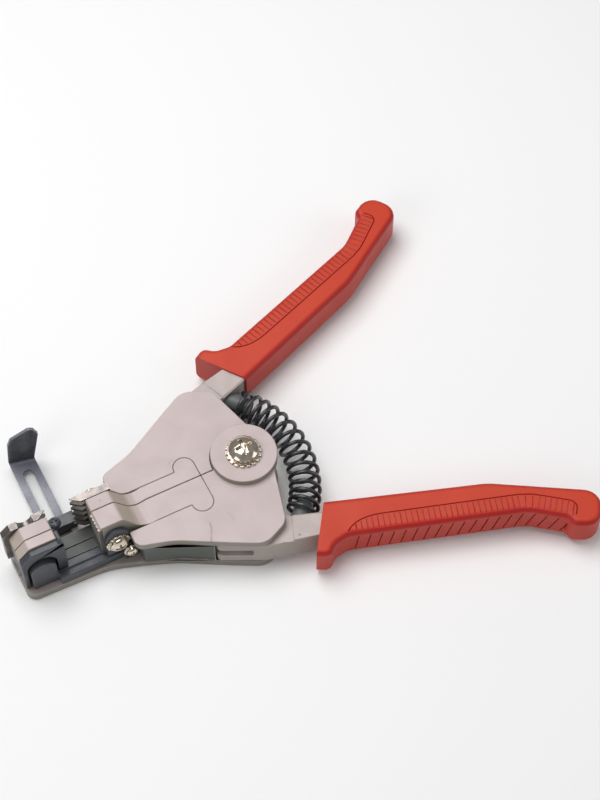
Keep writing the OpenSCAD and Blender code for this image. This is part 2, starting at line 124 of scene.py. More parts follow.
def makeCastGrain():
    tree, entry, leave = startGroup(
        "castGrain",
        [("Grain Size", "NodeSocketFloat", 900.0), ("Blotch Size", "NodeSocketFloat", 90.0)],
        [("Height", "NodeSocketFloat"), ("Tone", "NodeSocketFloat")])
    fine = noise(tree, entry.outputs["Grain Size"], 3.0, 0.6)
    broad = noise(tree, entry.outputs["Blotch Size"], 4.0, 0.55, 0.3)
    tree.links.new(calc(tree, "ADD", fine, scaled(tree, broad, 0.35)), leave.inputs["Height"])
    tree.links.new(stepUp(tree, broad, 0.34, 0.68), leave.inputs["Tone"])
    return tree


def makeEdgeWearAndHighlight():
    # Rounded edges as a mask, broken up by noise: partly worn edges and partly a painted highlight
    # along them
    tree, entry, leave = startGroup(
        "edgeWearAndHighlight",
        [("Width", "NodeSocketFloat", 0.0006), ("Amount", "NodeSocketFloat", 1.0),
         ("Break Up", "NodeSocketFloat", 400.0)],
        [("Mask", "NodeSocketFloat")])
    soft = addNode(tree, "ShaderNodeBevel", {"samples": 6})
    tree.links.new(entry.outputs["Width"], soft.inputs["Radius"])
    hard = tree.nodes.new("ShaderNodeNewGeometry")
    dot = addNode(tree, "ShaderNodeVectorMath", {"operation": "DOT_PRODUCT"})
    tree.links.new(soft.outputs["Normal"], dot.inputs[0])
    tree.links.new(hard.outputs["Normal"], dot.inputs[1])
    bend = stepUp(tree, reverse(tree, dot.outputs["Value"]), 0.004, 0.10)
    patch = stepUp(tree, noise(tree, entry.outputs["Break Up"], 4.0, 0.6), 0.36, 0.58)
    worn = calc(tree, "MULTIPLY", bend, calc(tree, "ADD", 0.35, scaled(tree, patch, 0.65)))
    mask = calc(tree, "MULTIPLY", worn, entry.outputs["Amount"], clamp=True)
    tree.links.new(mask, leave.inputs["Mask"])
    return tree


def makeScuffs():
    tree, entry, leave = startGroup(
        "scuffs",
        [("Line Size", "NodeSocketFloat", 60.0), ("Speck Size", "NodeSocketFloat", 300.0),
         ("Speck Share", "NodeSocketFloat", 0.08)],
        [("Lines", "NodeSocketFloat"), ("Specks", "NodeSocketFloat")])
    # A thin line runs wherever the broad noise passes its middle value
    wander = noise(tree, entry.outputs["Line Size"], 1.0, 0.4, 0.8)
    path = calc(tree, "ABSOLUTE", calc(tree, "SUBTRACT", wander, 0.5))
    thin = reverse(tree, stepUp(tree, path, 0.0008, 0.0035))
    patch = stepUp(tree, noise(tree, 95.0, 2.0), 0.60, 0.68)
    tree.links.new(calc(tree, "MULTIPLY", thin, patch), leave.inputs["Lines"])
    cells = addNode(tree, "ShaderNodeTexVoronoi", {"feature": "F1"})
    tree.links.new(objectPoint(tree), cells.inputs["Vector"])
    tree.links.new(entry.outputs["Speck Size"], cells.inputs["Scale"])
    spot = reverse(tree, stepUp(tree, cells.outputs["Distance"], 0.07, 0.15))
    split = tree.nodes.new("ShaderNodeSeparateColor")
    tree.links.new(cells.outputs["Color"], split.inputs["Color"])
    chosen = calc(tree, "LESS_THAN", split.outputs["Red"], entry.outputs["Speck Share"])
    tree.links.new(calc(tree, "MULTIPLY", spot, chosen), leave.inputs["Specks"])
    return tree


def makeShadeByFacing():
    # Painted shade by facing: how far a face looks up or down, and how far it is a rounded edge, as
    # masks for darker walls and rims
    tree, entry, leave = startGroup(
        "shadeByFacing", [], [("Wall", "NodeSocketFloat"), ("Rim", "NodeSocketFloat")])
    geometry = tree.nodes.new("ShaderNodeNewGeometry")
    split = tree.nodes.new("ShaderNodeSeparateXYZ")
    tree.links.new(geometry.outputs["Normal"], split.inputs[0])
    flat = calc(tree, "ABSOLUTE", split.outputs["Z"])
    tree.links.new(reverse(tree, stepUp(tree, flat, 0.1, 0.75)), leave.inputs["Wall"])
    offMiddle = calc(tree, "ABSOLUTE", calc(tree, "SUBTRACT", flat, 0.58))
    tree.links.new(reverse(tree, stepUp(tree, offMiddle, 0.2, 0.42)), leave.inputs["Rim"])
    return tree


groups = {
    "castGrain": makeCastGrain(),
    "edgeWearAndHighlight": makeEdgeWearAndHighlight(),
    "scuffs": makeScuffs(),
    "shadeByFacing": makeShadeByFacing(),
}


def place(tree, name, values=()):
    node = addNode(tree, "ShaderNodeGroup", {"node_tree": groups[name]})
    for label, value in dict(values).items():
        node.inputs[label].default_value = value
    return node


def mixColour(tree, share, first, second):
    node = addNode(tree, "ShaderNodeMix", {"data_type": "RGBA"})
    tree.links.new(share, node.inputs["Factor"])
    for index, value in ((6, first), (7, second)):
        if hasattr(value, "is_output"):
            tree.links.new(value, node.inputs[index])
        else:
            node.inputs[index].default_value = (*value, 1.0)
    return node.outputs[2]


def startFinish(name, values):
    material = bpy.data.materials.new(name)
    material.use_nodes = True
    tree = material.node_tree
    shader = tree.nodes["Principled BSDF"]
    for label, value in values.items():
        shader.inputs[label].default_value = value
    return material, tree, shader


def between(tree, share, low, high):
    return calc(tree, "ADD", low, scaled(tree, share, high - low), clamp=True)


def bump(tree, shader, height, distance, strength=1.0):
    node = addNode(tree, "ShaderNodeBump", values={"Distance": distance, "Strength": strength})
    tree.links.new(height, node.inputs["Height"])
    tree.links.new(node.outputs["Normal"], shader.inputs["Normal"])


def tint(tree, colour, mask, share, other):
    return mixColour(tree, scaled(tree, mask, share), colour, other)


def layerAbove(tree, height):
    # 1 above a height in mm, 0 below it
    split = tree.nodes.new("ShaderNodeSeparateXYZ")
    tree.links.new(objectPoint(tree), split.inputs[0])
    blur = 0.1 * mm
    return stepUp(tree, split.outputs["Z"], height * mm - blur, height * mm + blur)


def enamelFinish(name, look):
    material, tree, shader = startFinish(name, look["shader"])
    grain = place(tree, "castGrain", {"Grain Size": look["grain"], "Blotch Size": look["blotch"]})
    wear = place(tree, "edgeWearAndHighlight", {
        "Width": look["wearAndHighlightWidth"], "Amount": look["wear"], "Break Up": look["breakUp"]})
    marks = place(tree, "scuffs", {
        "Line Size": look["lineSize"], "Speck Size": look["speckSize"], "Speck Share": look["specks"]})
    side = place(tree, "shadeByFacing")
    tone = grain.outputs["Tone"]
    colour = mixColour(tree, scaled(tree, tone, look["mottle"]), look["colour"], look["darker"])
    # Painted shade: upright walls take the darker wall colour
    colour = tint(tree, colour, side.outputs["Wall"], look["wallShadeShare"], look["wall"])
    # Painted shade: rounded rims and slopes take a darker olive
    if "slope" in look:
        colour = tint(tree, colour, side.outputs["Rim"], look["slopeShadeShare"], look["slope"])
    # Painted shade: the web between the plates is painted nearly black, and the plate below it darker
    if "inside" in look:
        above = layerAbove(tree, look["insideFrom"])
        below = reverse(tree, layerAbove(tree, look["insideTo"]))
        colour = mixColour(tree, calc(tree, "MULTIPLY", above, below), colour, look["inside"])
        colour = tint(tree, colour, reverse(tree, above), look["lowShadeShare"], look["low"])
    colour = tint(tree, colour, marks.outputs["Lines"], look["lines"], look["mark"])
    colour = tint(tree, colour, marks.outputs["Specks"], look["speckDepth"], look["mark"])
    # Rounded edges lighter: partly worn paint, partly a painted highlight
    colour = mixColour(tree, wear.outputs["Mask"], colour, look["edge"])
    tree.links.new(colour, shader.inputs["Base Color"])
    tree.links.new(between(tree, tone, *look["rough"]), shader.inputs["Roughness"])
    dents = scaled(tree, marks.outputs["Lines"], look["lineCut"])
    bump(tree, shader, calc(tree, "SUBTRACT", grain.outputs["Height"], dents), look["bump"] * mm)
    return material


def metalFinish(name, look):
    material, tree, shader = startFinish(name, look["shader"])
    lines = noise(tree, look["brush"], 3.0, 0.6, 0.0, (look["stretch"], look["turn"]))
    cloud = noise(tree, look["cloud"], 4.0, 0.6, 0.4)
    wear = place(tree, "edgeWearAndHighlight", {
        "Width": look["wearAndHighlightWidth"], "Amount": look["wear"], "Break Up": look["breakUp"]})
    colour = mixColour(tree, stepUp(tree, cloud, 0.3, 0.7), look["colour"], look["darker"])
    # Rounded edges lighter: partly worn metal, partly a painted highlight
    colour = mixColour(tree, wear.outputs["Mask"], colour, look["edge"])
    tree.links.new(colour, shader.inputs["Base Color"])
    smear = scaled(tree, cloud, look["smear"])
    rough = calc(tree, "ADD", between(tree, lines, *look["rough"]), smear, clamp=True)
    tree.links.new(rough, shader.inputs["Roughness"])
    height = calc(tree, "ADD", scaled(tree, lines, 0.7), scaled(tree, cloud, 0.3))
    bump(tree, shader, height, look["bump"] * mm)
    return material


# Enamelled and oxide-blacked finishes; heights in mm, colours linear. The wall colour is painted shade
# on upright faces; the edge colour is partly wear, partly a painted highlight
markSizes = {"breakUp": 500.0, "speckDepth": 0.7, "lineCut": 1.2}
# Painted shade: the dark web colour between the plates, the low colour on the plate below, and the
# olive slope colour on rounded rims
castingLook = {
    **markSizes,
    "shader": {"Specular IOR Level": 0.45},
    "colour": (0.585, 0.487, 0.478), "darker": (0.53, 0.44, 0.43), "wall": (0.24, 0.225, 0.185),
    "inside": (0.085, 0.092, 0.082), "insideFrom": 2.85, "insideTo": 12.15,
    "low": (0.17, 0.165, 0.14), "lowShadeShare": 0.55, "slope": (0.38, 0.33, 0.25), "slopeShadeShare": 0.6,
    "edge": (0.70, 0.63, 0.60), "mark": (0.22, 0.17, 0.15),
    "mottle": 0.6, "wallShadeShare": 0.92, "grain": 900.0, "blotch": 110.0, "lineSize": 22.0,
    "lines": 0.5, "speckSize": 260.0, "specks": 0.035, "wear": 0.6, "wearAndHighlightWidth": 0.0005,
    "rough": (0.40, 0.52), "bump": 0.02,
}
# Painted shade in the cut valleys of the ridged lever: the casting paint made near black
valleyShadeLook = dict(
    castingLook, colour=(0.13, 0.12, 0.10), darker=(0.10, 0.09, 0.08),
    wall=(0.08, 0.075, 0.065), wear=0.2)
leverLook = {
    **markSizes,
    "shader": {"Specular IOR Level": 0.5},
    "colour": (0.56, 0.475, 0.45), "darker": (0.47, 0.40, 0.375), "wall": (0.25, 0.235, 0.20),
    "edge": (0.66, 0.6, 0.56), "mark": (0.16, 0.13, 0.12),
    "mottle": 0.8, "wallShadeShare": 0.6, "grain": 700.0, "blotch": 90.0, "lineSize": 40.0,
    "lines": 0.4, "speckSize": 300.0, "specks": 0.05, "wear": 0.7, "wearAndHighlightWidth": 0.0005,
    "rough": (0.36, 0.5), "bump": 0.03,
}
blackLook = {
    **markSizes,
    "shader": {"Specular IOR Level": 0.55},
    "colour": (0.055, 0.062, 0.074), "darker": (0.035, 0.040, 0.050), "wall": (0.04, 0.044, 0.05),
    "edge": (0.16, 0.18, 0.21), "mark": (0.11, 0.11, 0.12),
    "mottle": 0.8, "wallShadeShare": 0.5, "grain": 1100.0, "blotch": 160.0, "lineSize": 60.0,
    "lines": 0.3, "speckSize": 420.0, "specks": 0.12, "wear": 0.8, "wearAndHighlightWidth": 0.0006,
    "rough": (0.34, 0.5), "bump": 0.03,
}
stopLook = dict(
    blackLook, colour=(0.20, 0.205, 0.25), darker=(0.15, 0.155, 0.19), wall=(0.045, 0.05, 0.056),
    wallShadeShare=0.95, rough=(0.22, 0.34), specks=0.02, lines=0.15)
pegLook = dict(blackLook, colour=(0.14, 0.15, 0.15), darker=(0.09, 0.10, 0.10), rough=(0.4, 0.5))

# Bare metals; the edge colour is partly wear, partly a painted highlight
nickelLook = {
    "shader": {"Metallic": 1.0},
    "colour": (0.80, 0.73, 0.62), "darker": (0.58, 0.50, 0.40), "edge": (0.95, 0.90, 0.82),
    "brush": 220.0, "stretch": (1.0, 1.0, 6.0), "turn": (0.0, 0.0, 0.0), "cloud": 500.0,
    "wear": 0.5, "wearAndHighlightWidth": 0.0003, "breakUp": 700.0, "smear": 0.08,
    "rough": (0.05, 0.14), "bump": 0.006,
}
bladeLook = {
    "shader": {"Metallic": 1.0},
    "colour": (0.30, 0.265, 0.245), "darker": (0.15, 0.14, 0.135), "edge": (0.60, 0.55, 0.52),
    "brush": 500.0, "stretch": (0.15, 1.0, 1.0), "turn": (0.0, 0.0, 0.0), "cloud": 260.0,
    "wear": 0.8, "wearAndHighlightWidth": 0.0003, "breakUp": 700.0, "smear": 0.08,
    "rough": (0.28, 0.42), "bump": 0.01,
}
turnedLook = dict(
    bladeLook, colour=(0.45, 0.45, 0.44), darker=(0.33, 0.33, 0.32), edge=(0.7, 0.7, 0.7))


springLook = {
    "shader": {"Specular IOR Level": 0.6, "Coat Weight": 0.25, "Coat Roughness": 0.2},
    "colour": (0.016, 0.018, 0.022), "worn": (0.06, 0.065, 0.075), "rough": (0.20, 0.36),
    "cloud": 420.0, "bump": 0.02,
}


def springFinish(name, look):
    material, tree, shader = startFinish(name, look["shader"])
    cloud = noise(tree, look["cloud"], 4.0, 0.6, 0.3)
    colour = mixColour(tree, stepUp(tree, cloud, 0.45, 0.75), look["colour"], look["worn"])
    tree.links.new(colour, shader.inputs["Base Color"])
    tree.links.new(between(tree, cloud, *look["rough"]), shader.inputs["Roughness"])
    bump(tree, shader, cloud, look["bump"] * mm)
    return material


def vinylFinish(name, look):
    material, tree, shader = startFinish(name, look["shader"])
    grain = place(tree, "castGrain", {"Grain Size": look["grain"], "Blotch Size": look["blotch"]})
    side = place(tree, "shadeByFacing")
    tone = grain.outputs["Tone"]
    colour = mixColour(tree, scaled(tree, tone, look["mottle"]), look["top"], look["topDark"])
    # Painted shade on upright walls and rounded rims
    colour = tint(tree, colour, side.outputs["Wall"], look["wallShadeShare"], look["wall"])
    colour = tint(tree, colour, side.outputs["Rim"], look["rimShadeShare"], look["rim"])
    tree.links.new(colour, shader.inputs["Base Color"])
    tree.links.new(between(tree, tone, *look["rough"]), shader.inputs["Roughness"])
    bump(tree, shader, grain.outputs["Height"], look["bump"] * mm)
    return material


# Painted shade: the wall and rim reds are darker reds for upright faces and rounded rims
vinylLook = {
    "shader": {"Specular IOR Level": 0.42},
    "top": (0.60, 0.046, 0.014), "topDark": (0.54, 0.038, 0.012), "wall": (0.48, 0.030, 0.014),
    "rim": (0.40, 0.006, 0.008), "wallShadeShare": 0.9, "rimShadeShare": 0.9, "mottle": 0.5,
    "grain": 1300.0, "blotch": 60.0, "rough": (0.42, 0.55), "bump": 0.03,
}
# Painted shade: the cut grooves and ribs take a darker red
grooveShadeLook = dict(
    vinylLook, top=(0.38, 0.016, 0.010), topDark=(0.34, 0.014, 0.009), wall=(0.26, 0.018, 0.012),
    rimShadeShare=0.2)

finishes = {
    "casting": enamelFinish("greyCastPaint", castingLook),
    # Painted shade in the lever's cut valleys
    "valley": enamelFinish("castValleyShade", valleyShadeLook),
    "lever": enamelFinish("leverSatin", leverLook),
    "black": enamelFinish("blackOxide", blackLook),
    "stop": enamelFinish("stopBlack", stopLook),
    "peg": enamelFinish("pegGrey", pegLook),
    "nickel": metalFinish("brightNickel", nickelLook),
    "blade": metalFinish("groundBlade", bladeLook),
    "turned": metalFinish("turnedSteel", turnedLook),
    "spring": springFinish("springBlack", springLook),
    "vinyl": vinylFinish("softVinyl", vinylLook),
    # Painted shade in the grips' cut grooves
    "groove": vinylFinish("vinylGrooveShade", grooveShadeLook),
}
print("finishes made:", len(finishes))

bodyRows = frame["record"]["behaviour"]["bodies"]
bodyOf = {node: body for body, row in bodyRows.items() for node in row}


def keepPiece(name, bm, finishNames, node=None, sharp=35.0, weighted=True):
    mesh = bpy.data.meshes.new(name)
    for finish in finishNames:
        mesh.materials.append(finishes[finish])
    bm.to_mesh(mesh)
    bm.free()
    for face in mesh.polygons:
        face.use_smooth = True
    mesh.set_sharp_from_angle(angle=math.radians(sharp))
    piece = bpy.data.objects.new(name, mesh)
    bpy.context.collection.objects.link(piece)
    if weighted:
        shade = piece.modifiers.new("evenShade", "WEIGHTED_NORMAL")
        shade.keep_sharp = True
    if node:
        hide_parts(node)
        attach(piece, bodyOf[node])
    return piece


def flatten(bm):
    bmesh.ops.dissolve_limit(
        bm, angle_limit=math.radians(0.6), use_dissolve_boundaries=False,
        verts=bm.verts, edges=bm.edges, delimit={"NORMAL"})


def copyNode(node):
    # A node's mesh as large flat faces, without the slivers that spoil a bevel
    source = frame["nodes"][node]
    bm = bmesh.new()
    bm.from_mesh(source.data)
    bm.transform(source.matrix_world)
    for distance in (0.002, 0.06):
        bmesh.ops.remove_doubles(bm, verts=bm.verts, dist=distance * mm)
        flatten(bm)
    return bm


def roundEdges(bm, width, steps, chosen=None, corner=30.0, keenest=105.0):
    # Edges keener than the last limit, such as a blade's teeth, stay as they are
    edges = [e for e in bm.edges if len(e.link_faces) == 2
             and math.radians(corner) < e.calc_face_angle(0.0) < math.radians(keenest)
             and (chosen is None or chosen(e))]
    if edges:
        bmesh.ops.bevel(
            bm, geom=edges, offset=width * mm, offset_type="OFFSET", segments=steps, profile=0.5,
            affect="EDGES", clamp_overlap=False, material=-1, loop_slide=True)


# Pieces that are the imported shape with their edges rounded
plainPieces = [
    # node, width of the rounded edge, steps, finish, slot
    ("lower_frame", 0.30, 3, "casting", "casting"),
    ("upper_frame", 0.30, 3, "casting", "casting"),
    ("upper_jaw_lever", 0.30, 3, "casting", "casting"),
    ("lower_handle", 0.30, 3, "lever", "lever_steel"),
    ("upper_handle", 0.30, 3, "lever", "lever_steel"),
    ("lower_tip_jaw", 0.25, 3, "casting", "casting"),
    ("upper_tip_jaw", 0.25, 3, "casting", "casting"),
    ("jaw_pad", 0.30, 3, "black", "black_steel"),
    ("side_strap", 0.30, 3, "black", "black_steel"),
    ("strap_guide", 0.30, 3, "black", "black_steel"),
    ("stop_guide", 0.25, 2, "black", "black_steel"),
    ("stop_clamp_screw", 0.08, 2, "black", "black_steel"),
    ("web_screws", 0.15, 2, "black", "black_steel"),
    ("inner_blade", 0.06, 2, "blade", "blade_steel"),
    ("tip_blade", 0.06, 2, "blade", "blade_steel"),
    ("inner_blade_screw", 0.08, 2, "nickel", "zinc"),
    ("tip_blade_screw", 0.08, 2, "nickel", "zinc"),
    ("strap_guide_screw", 0.08, 2, "nickel", "zinc"),
    ("strap_guide_washer", 0.06, 2, "nickel", "zinc"),
    ("side_screw", 0.06, 2, "nickel", "zinc"),
    ("pivot_screw", 0.10, 2, "nickel", "zinc"),
    ("pivot_washer", 0.08, 2, "nickel", "zinc"),
    ("pivot_nut", 0.12, 2, "turned", "plain_steel"),
    ("lower_crank_pin", 0.15, 2, "turned", "plain_steel"),
    ("upper_crank_pin", 0.15, 2, "turned", "plain_steel"),
    ("lower_spring_peg", 0.3, 3, "peg", "plain_steel"),
    ("upper_spring_peg", 0.3, 3, "peg", "plain_steel"),
]


def camelName(node):
    words = node.split("_")
    return words[0] + "".join(word.capitalize() for word in words[1:])


for node, width, steps, finish, slot in plainPieces:
    bm = copyNode(node)
    roundEdges(bm, width, steps)
    keepPiece(camelName(node), bm, [finish], node)
print("plain pieces made:", len(plainPieces))


# Lines, swept bars and cuts


def softCorners(corners, steps=8):
    # (x, y, radius) corners of an open line, each turned on an arc of its radius
    points = [Vector(corners[0][:2])]
    for before, here, after in zip(corners, corners[1:], corners[2:]):
        corner, radius = Vector(here[:2]), here[2]
        back = (Vector(before[:2]) - corner).normalized()
        ahead = (Vector(after[:2]) - corner).normalized()
        half = back.angle(ahead) / 2
        if radius == 0 or half > math.radians(89):
            points.append(corner)
            continue
        centre = corner + (back + ahead).normalized() * radius / math.sin(half)
        first = corner + back * radius / math.tan(half) - centre
        last = corner + ahead * radius / math.tan(half) - centre
        for k in range(steps + 1):
            turned = first.slerp(last, k / steps) if first.angle(last) > 1e-4 else first
            points.append(centre + turned.normalized() * radius)
    points.append(Vector(corners[-1][:2]))
    return points


def alongLine(points, distance):
    # Point and heading at a distance along a line of points
    for first, last in zip(points, points[1:]):
        length = (last - first).length
        if distance <= length or last is points[-1]:
            return first + (last - first) * (distance / length), (last - first).normalized()
        distance -= length


def sweepLine(bm, line, across, up, sides=6):
    # A closed bar along 3-D points, across wide and up high
    ring = bmesh.ops.create_circle(bm, segments=sides, radius=1.0)["verts"]
    edges = list({e for v in ring for e in v.link_edges})
    shape = [v.co.copy() for v in ring]
    for index, point in enumerate(line):
        if index:
            made = bmesh.ops.extrude_edge_only(bm, edges=edges)["geom"]
            edges = [e for e in made if isinstance(e, bmesh.types.BMEdge) and e.is_boundary]
            ring = [next(e.other_vert(old) for e in old.link_edges if e.other_vert(old) in made)
                    for old in ring]
        before, after = line[max(index - 1, 0)], line[min(index + 1, len(line) - 1)]
        heading = (after - before).normalized()
        side = heading.cross(Vector((0, 0, 1))).normalized()
        for vert, corner in zip(ring, shape):
            vert.co = point + side * corner.x * across + Vector((0, 0, 1)) * corner.y * up
    rim = [e for e in bm.edges if len(e.link_faces) == 1]
    bmesh.ops.holes_fill(bm, edges=rim, sides=0)
    bmesh.ops.recalc_face_normals(bm, faces=bm.faces)


def addBlock(bm, stand, size):
    sized = Matrix.Diagonal((*(Vector(size) * mm), 1.0))
    bmesh.ops.create_cube(bm, size=1.0, matrix=stand @ sized)


def cutAway(bm, cutter):
    # Takes the cutter's solids out of bm, and gives the cut faces the second finish
    for face in cutter.faces:
        face.material_index = 1
    meshes = []
    for source in (bm, cutter):
        mesh = bpy.data.meshes.new("cutting")
        for _ in range(2):
            mesh.materials.append(None)
        source.to_mesh(mesh)
        source.free()
        meshes.append(bpy.data.objects.new("cutting", mesh))
        bpy.context.collection.objects.link(meshes[-1])
    body, tool = meshes
    cut = body.modifiers.new("cut", "BOOLEAN")
    cut.operation, cut.solver, cut.object, cut.use_self = "DIFFERENCE", "EXACT", tool, True
    bpy.context.view_layer.update()
    shown = body.evaluated_get(bpy.context.evaluated_depsgraph_get())
    done = bpy.data.meshes.new_from_object(shown)
    result = bmesh.new()
    result.from_mesh(done)
    for item in (body, tool):
        mesh = item.data
        bpy.data.objects.remove(item)
        bpy.data.meshes.remove(mesh)
    bpy.data.meshes.remove(done)
    return result


# Ridged jaw lever

ridgeLook = {
    "face": -50.2, "first": -1.6, "pitch": 1.3, "valleys": 5, "width": 0.7, "depth": 0.8,
    "low": 6.7, "high": 20.4, "edge": 0.25, "edgeSteps": 3,
}


def makeRidgedLever():
    look = ridgeLook
    bm = copyNode("lower_jaw_lever")
    behind = (look["face"] + 0.1) * mm

    def clearOfRidges(edge):
        return min(v.co.x for v in edge.verts) > behind

    roundEdges(bm, look["edge"], look["edgeSteps"], clearOfRidges)
    cutter = bmesh.new()
    middle, tall = (look["low"] + look["high"]) / 2, look["high"] - look["low"]
    for k in range(look["valleys"]):
        spot = Vector((look["face"], look["first"] - k * look["pitch"], middle)) * mm
        addBlock(cutter, Matrix.Translation(spot), (look["depth"] * 2, look["width"], tall))
    bm = cutAway(bm, cutter)
    # The cut valley faces take the valley finish, which is painted shade
    keepPiece("lowerJawLever", bm, ["casting", "valley"], "lower_jaw_lever")


makeRidgedLever()
print("ridged lever made")


# Grips

gripLook = {
    "fillet": 1.9, "filletSteps": 6, "mouth": ((14.4, 25.0), (3.8, 40.0)), "top": 13.3, "bottom": 1.7,
    "shift": (-0.3, 0.9), "swing": 1.0,
    "outer": [(15.4, 38.8, 0), (67.2, 56.9, 14), (76.4, 64.4, 0)],
    "panel": 5.6, "easeIn": 11.0, "panelEnd": 69.0, "corner": 2.4, "lineWidth": 0.5, "lineDepth": 0.3,
    "ribFirst": 2.6, "ribPitch": 1.72, "ribs": 39, "ribWidth": 0.36, "ribDepth": 0.17, "ribFrom": 1.7,
    "ribLeast": 0.8, "grooves": 19, "groovePitch": 3.55, "grooveWidth": 0.42, "grooveDepth": 0.3,
    "grooveLength": 7.6, "leanFirst": 8.0, "leanLast": 20.0,
}


def panelDepth(look, along):
    if along < look["easeIn"]:
        return look["panel"] * math.sqrt(max(0.0, 1 - (1 - along / look["easeIn"]) ** 2))
    return look["panel"]


def panelLine(look):
    # (distance along the grip, depth from its outer side) round the ribbed panel
    ease, corner, panel, end = look["easeIn"], look["corner"], look["panel"], look["panelEnd"]
    line = []
    for k in range(10):
        turn = math.radians(4 + 86 * k / 9)
        line.append((ease * (1 - math.cos(turn)), panel * math.sin(turn)))
    for k in range(1, 20):
        line.append((ease + (end - corner - ease) * k / 20, panel))
    for k in range(7):
        turn = math.radians(90 * k / 6)
        line.append((end - corner * (1 - math.sin(turn)), panel - corner * (1 - math.cos(turn))))
    return line + [(end, look["ribFrom"] - 0.6)]


def makeGrip(name, node, side):
    look = gripLook
    levels = (look["top"], look["bottom"])
    # The ribs are laid out on the unturned +Y grip and then carried to the node's place
    mirror = Matrix.Diagonal((1.0, side, 1.0, 1.0))
    shift = Matrix.Translation(Vector((*look["shift"], 0.0)) * side * mm)
    carry = mirror @ shift @ Matrix.Rotation(math.radians(look["swing"] * side), 4, "Z")
    bm = copyNode(node)
    bm.transform(carry.inverted())
    if side < 0:
        bmesh.ops.reverse_faces(bm, faces=bm.faces)
    mouthA, mouthB = (Vector(p) * mm for p in look["mouth"])
    inward = (mouthB - mouthA).normalized()

    def outerRim(edge):
        middle = (edge.verts[0].co + edge.verts[1].co) / 2
        offMouth = abs((middle.to_2d() - mouthA).cross(inward)) > 0.5 * mm
        atRim = min(abs(middle.z - level * mm) for level in levels) < 0.01 * mm
        upright = abs(edge.verts[0].co.z - edge.verts[1].co.z) > 0.01 * mm
        return atRim and offMouth and not upright

    roundEdges(bm, look["fillet"], look["filletSteps"], outerRim, 60.0)

    outer = softCorners(look["outer"], 12)

    def onGrip(along, depth, z):
        point, heading = alongLine(outer, along)
        spot = point + Vector((heading.y, -heading.x)) * depth
        return Vector((spot.x, spot.y, z)) * mm

    def turnedAt(along, depth, z):
        heading = alongLine(outer, along)[1]
        yaw = Matrix.Rotation(math.atan2(heading.y, heading.x), 4, "Z")
        return Matrix.Translation(onGrip(along, depth, z)) @ yaw

    for level in levels:
        cutter = bmesh.new()
        line = [onGrip(along, depth, level) for along, depth in panelLine(look)]
        sweepLine(cutter, line, look["lineWidth"] / 2 * mm, look["lineDepth"] * mm)
        bm = cutAway(bm, cutter)
    cutter = bmesh.new()
    for k in range(look["ribs"]):
        along = look["ribFirst"] + k * look["ribPitch"]
        first, last = look["ribFrom"] - 1.1, panelDepth(look, along) - 0.5
        if last - first < look["ribLeast"]:
            continue
        for level in levels:
            size = (look["ribWidth"], last - first, look["ribDepth"] * 2)
            addBlock(cutter, turnedAt(along, (first + last) / 2, level), size)
    slant = look["leanLast"] - look["leanFirst"]
    for k in range(look["grooves"]):
        lean = math.radians(look["leanFirst"] + slant * k / look["grooves"])
        along = look["ribFirst"] + k * look["groovePitch"]
        stand = turnedAt(along, 0.0, sum(levels) / 2) @ Matrix.Rotation(lean, 4, "Y")
        addBlock(cutter, stand, (look["grooveWidth"], look["grooveDepth"] * 2, look["grooveLength"]))
    bm = cutAway(bm, cutter)
    bm.transform(carry)
    if side < 0:
        bmesh.ops.reverse_faces(bm, faces=bm.faces)
    # The cut faces take the groove finish, which is painted shade
    keepPiece(name, bm, ["vinyl", "groove"], node)


makeGrip("upperGrip", "upper_grip", 1)
makeGrip("lowerGrip", "lower_grip", -1)
print("grips made")


# Wire stop

stopShape = {
    "middle": -59.5, "width": 8.0, "near": 7.6, "fold": 37.0, "turn": -12.0, "under": 1.7,
    "thick": 1.0, "corner": 0.6, "slotHalf": 1.6, "slotNear": 7.8, "slotFar": 33.0,
    "slotCorner": 1.5, "bend": 1.3, "bendSteps": 8, "edge": 0.13, "leafFoot": 4.08,
    "leaf": [(-3.2, 11.0, 0.8), (-2.0, 14.2, 0.8), (4.1, 18.0, 1.0),
             (5.6, 17.4, 1.0), (6.8, 14.6, 1.0)],
}


